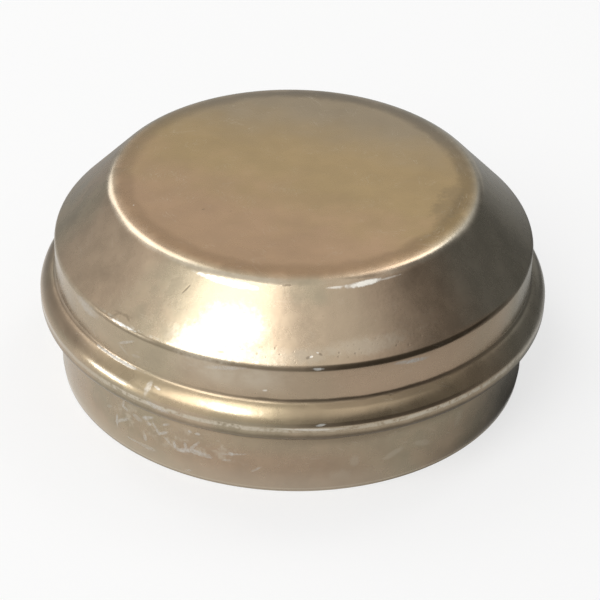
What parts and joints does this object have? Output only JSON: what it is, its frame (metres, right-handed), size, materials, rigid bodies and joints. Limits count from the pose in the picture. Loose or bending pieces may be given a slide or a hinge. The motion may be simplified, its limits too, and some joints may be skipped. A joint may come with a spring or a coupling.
{
  "type": "wheel hub dust cap",
  "caption": "Round drawn-steel wheel hub dust cap: flat crown, cone, band, rolled stop bead and straight press-fit skirt, hollow and open below, yellow zinc finish.",
  "frame": {"origin": "centre of the open mouth, in the plane of the sheet's cut edge, on which the cap stands", "axes": "+Z along the cap's axis, from the mouth up through the crown; a turned form, so +X and +Y are any two square directions"},
  "size_m": [0.065, 0.065, 0.0268],
  "materials": {
    "yellow_zinc_steel": "olive-bronze yellow passivated zinc on drawn steel, satin, lightly pitted and scuffed"
  },
  "bodies": {
    "root": {"cap_shell": "yellow_zinc_steel"}
  },
  "joints": []
}
